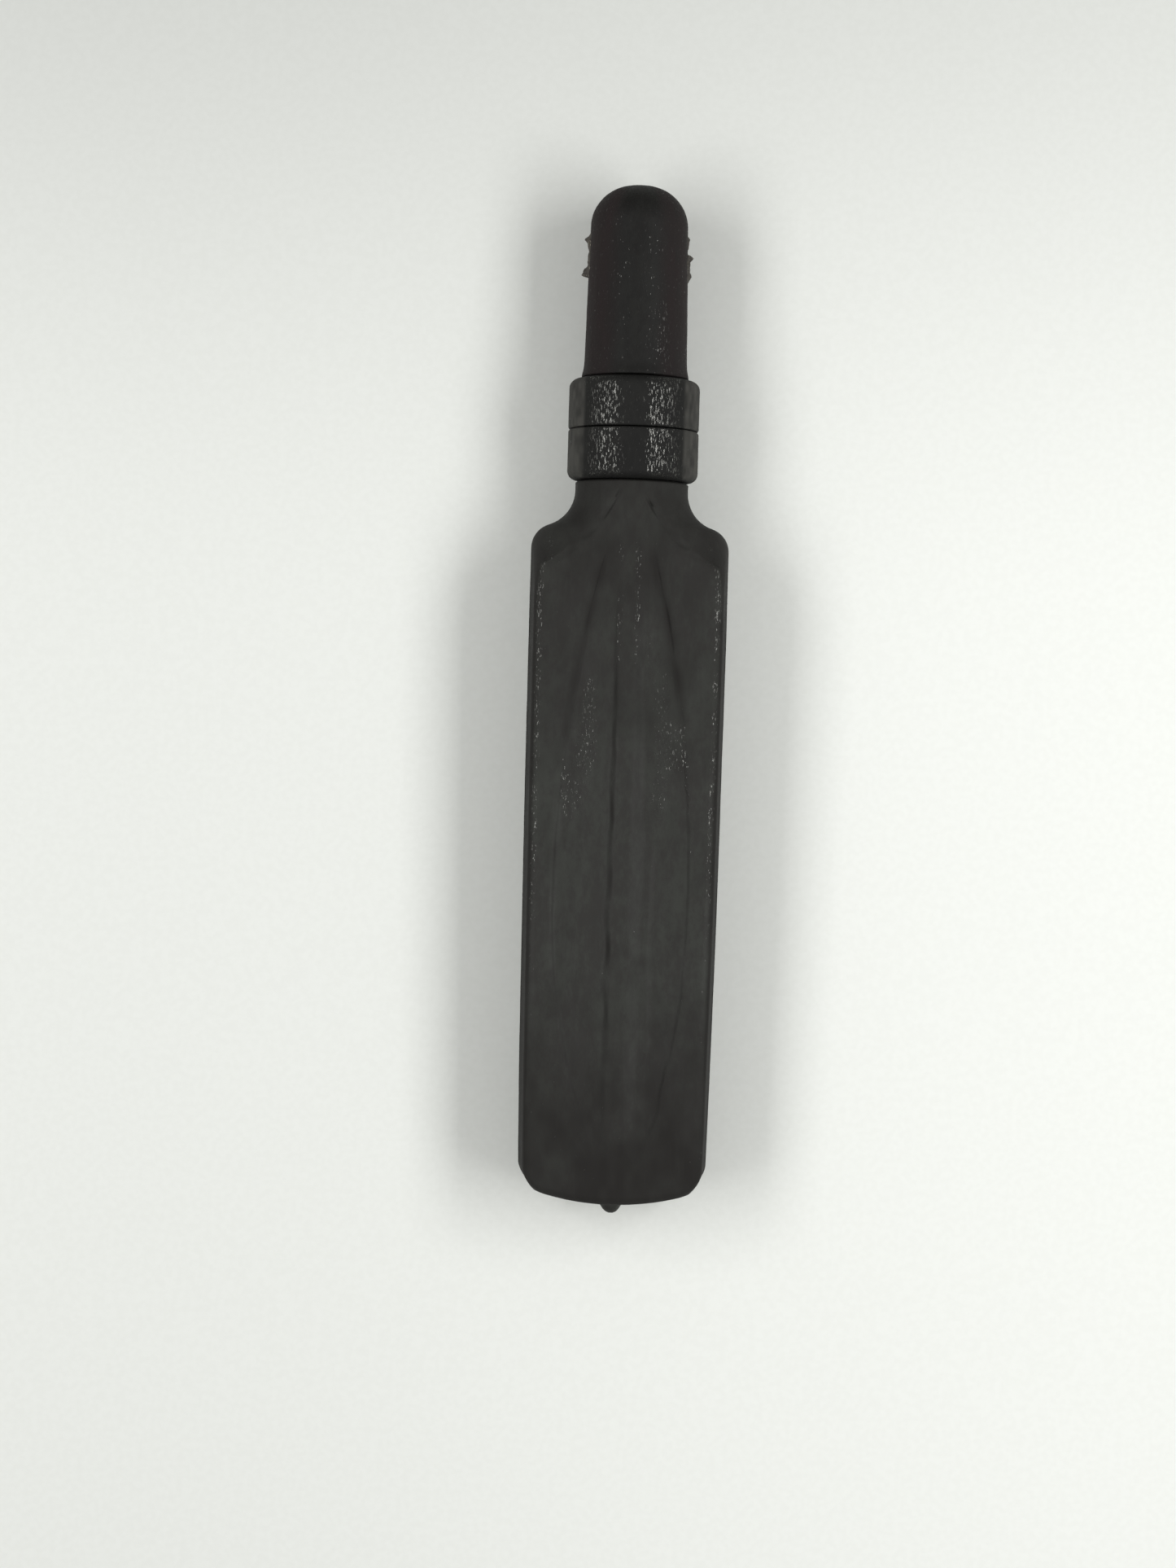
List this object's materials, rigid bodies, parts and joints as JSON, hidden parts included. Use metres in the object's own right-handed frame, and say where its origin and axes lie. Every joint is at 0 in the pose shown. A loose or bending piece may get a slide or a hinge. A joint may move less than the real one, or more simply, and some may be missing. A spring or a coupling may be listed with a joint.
{
  "type": "bone folder",
  "caption": "Moulded paper-creasing tool: thick flat blade with a leaf-shaped recess and rib on each face, a ringed collar and a round-ended grip.",
  "frame": {"origin": "under the middle of the tool's box, level with the collar's lowest line, which is the surface the collar lies on", "axes": "+Y from the blade's end to the grip, +X across the blade's width, +Z out of the upper face"},
  "size_m": [0.0194, 0.101, 0.0128],
  "materials": {
    "blade_plastic": "satin moulded, near black, faint mottling and fine lengthwise flow lines",
    "ring_plastic": "satin, near black, finely scored lengthwise with bright specks",
    "grip_plastic": "smooth satin, near black"
  },
  "bodies": {
    "root": {"folding_blade": "blade_plastic", "lower_collar_ring": "ring_plastic", "upper_collar_ring": "ring_plastic", "round_end_grip": "grip_plastic"}
  },
  "joints": []
}
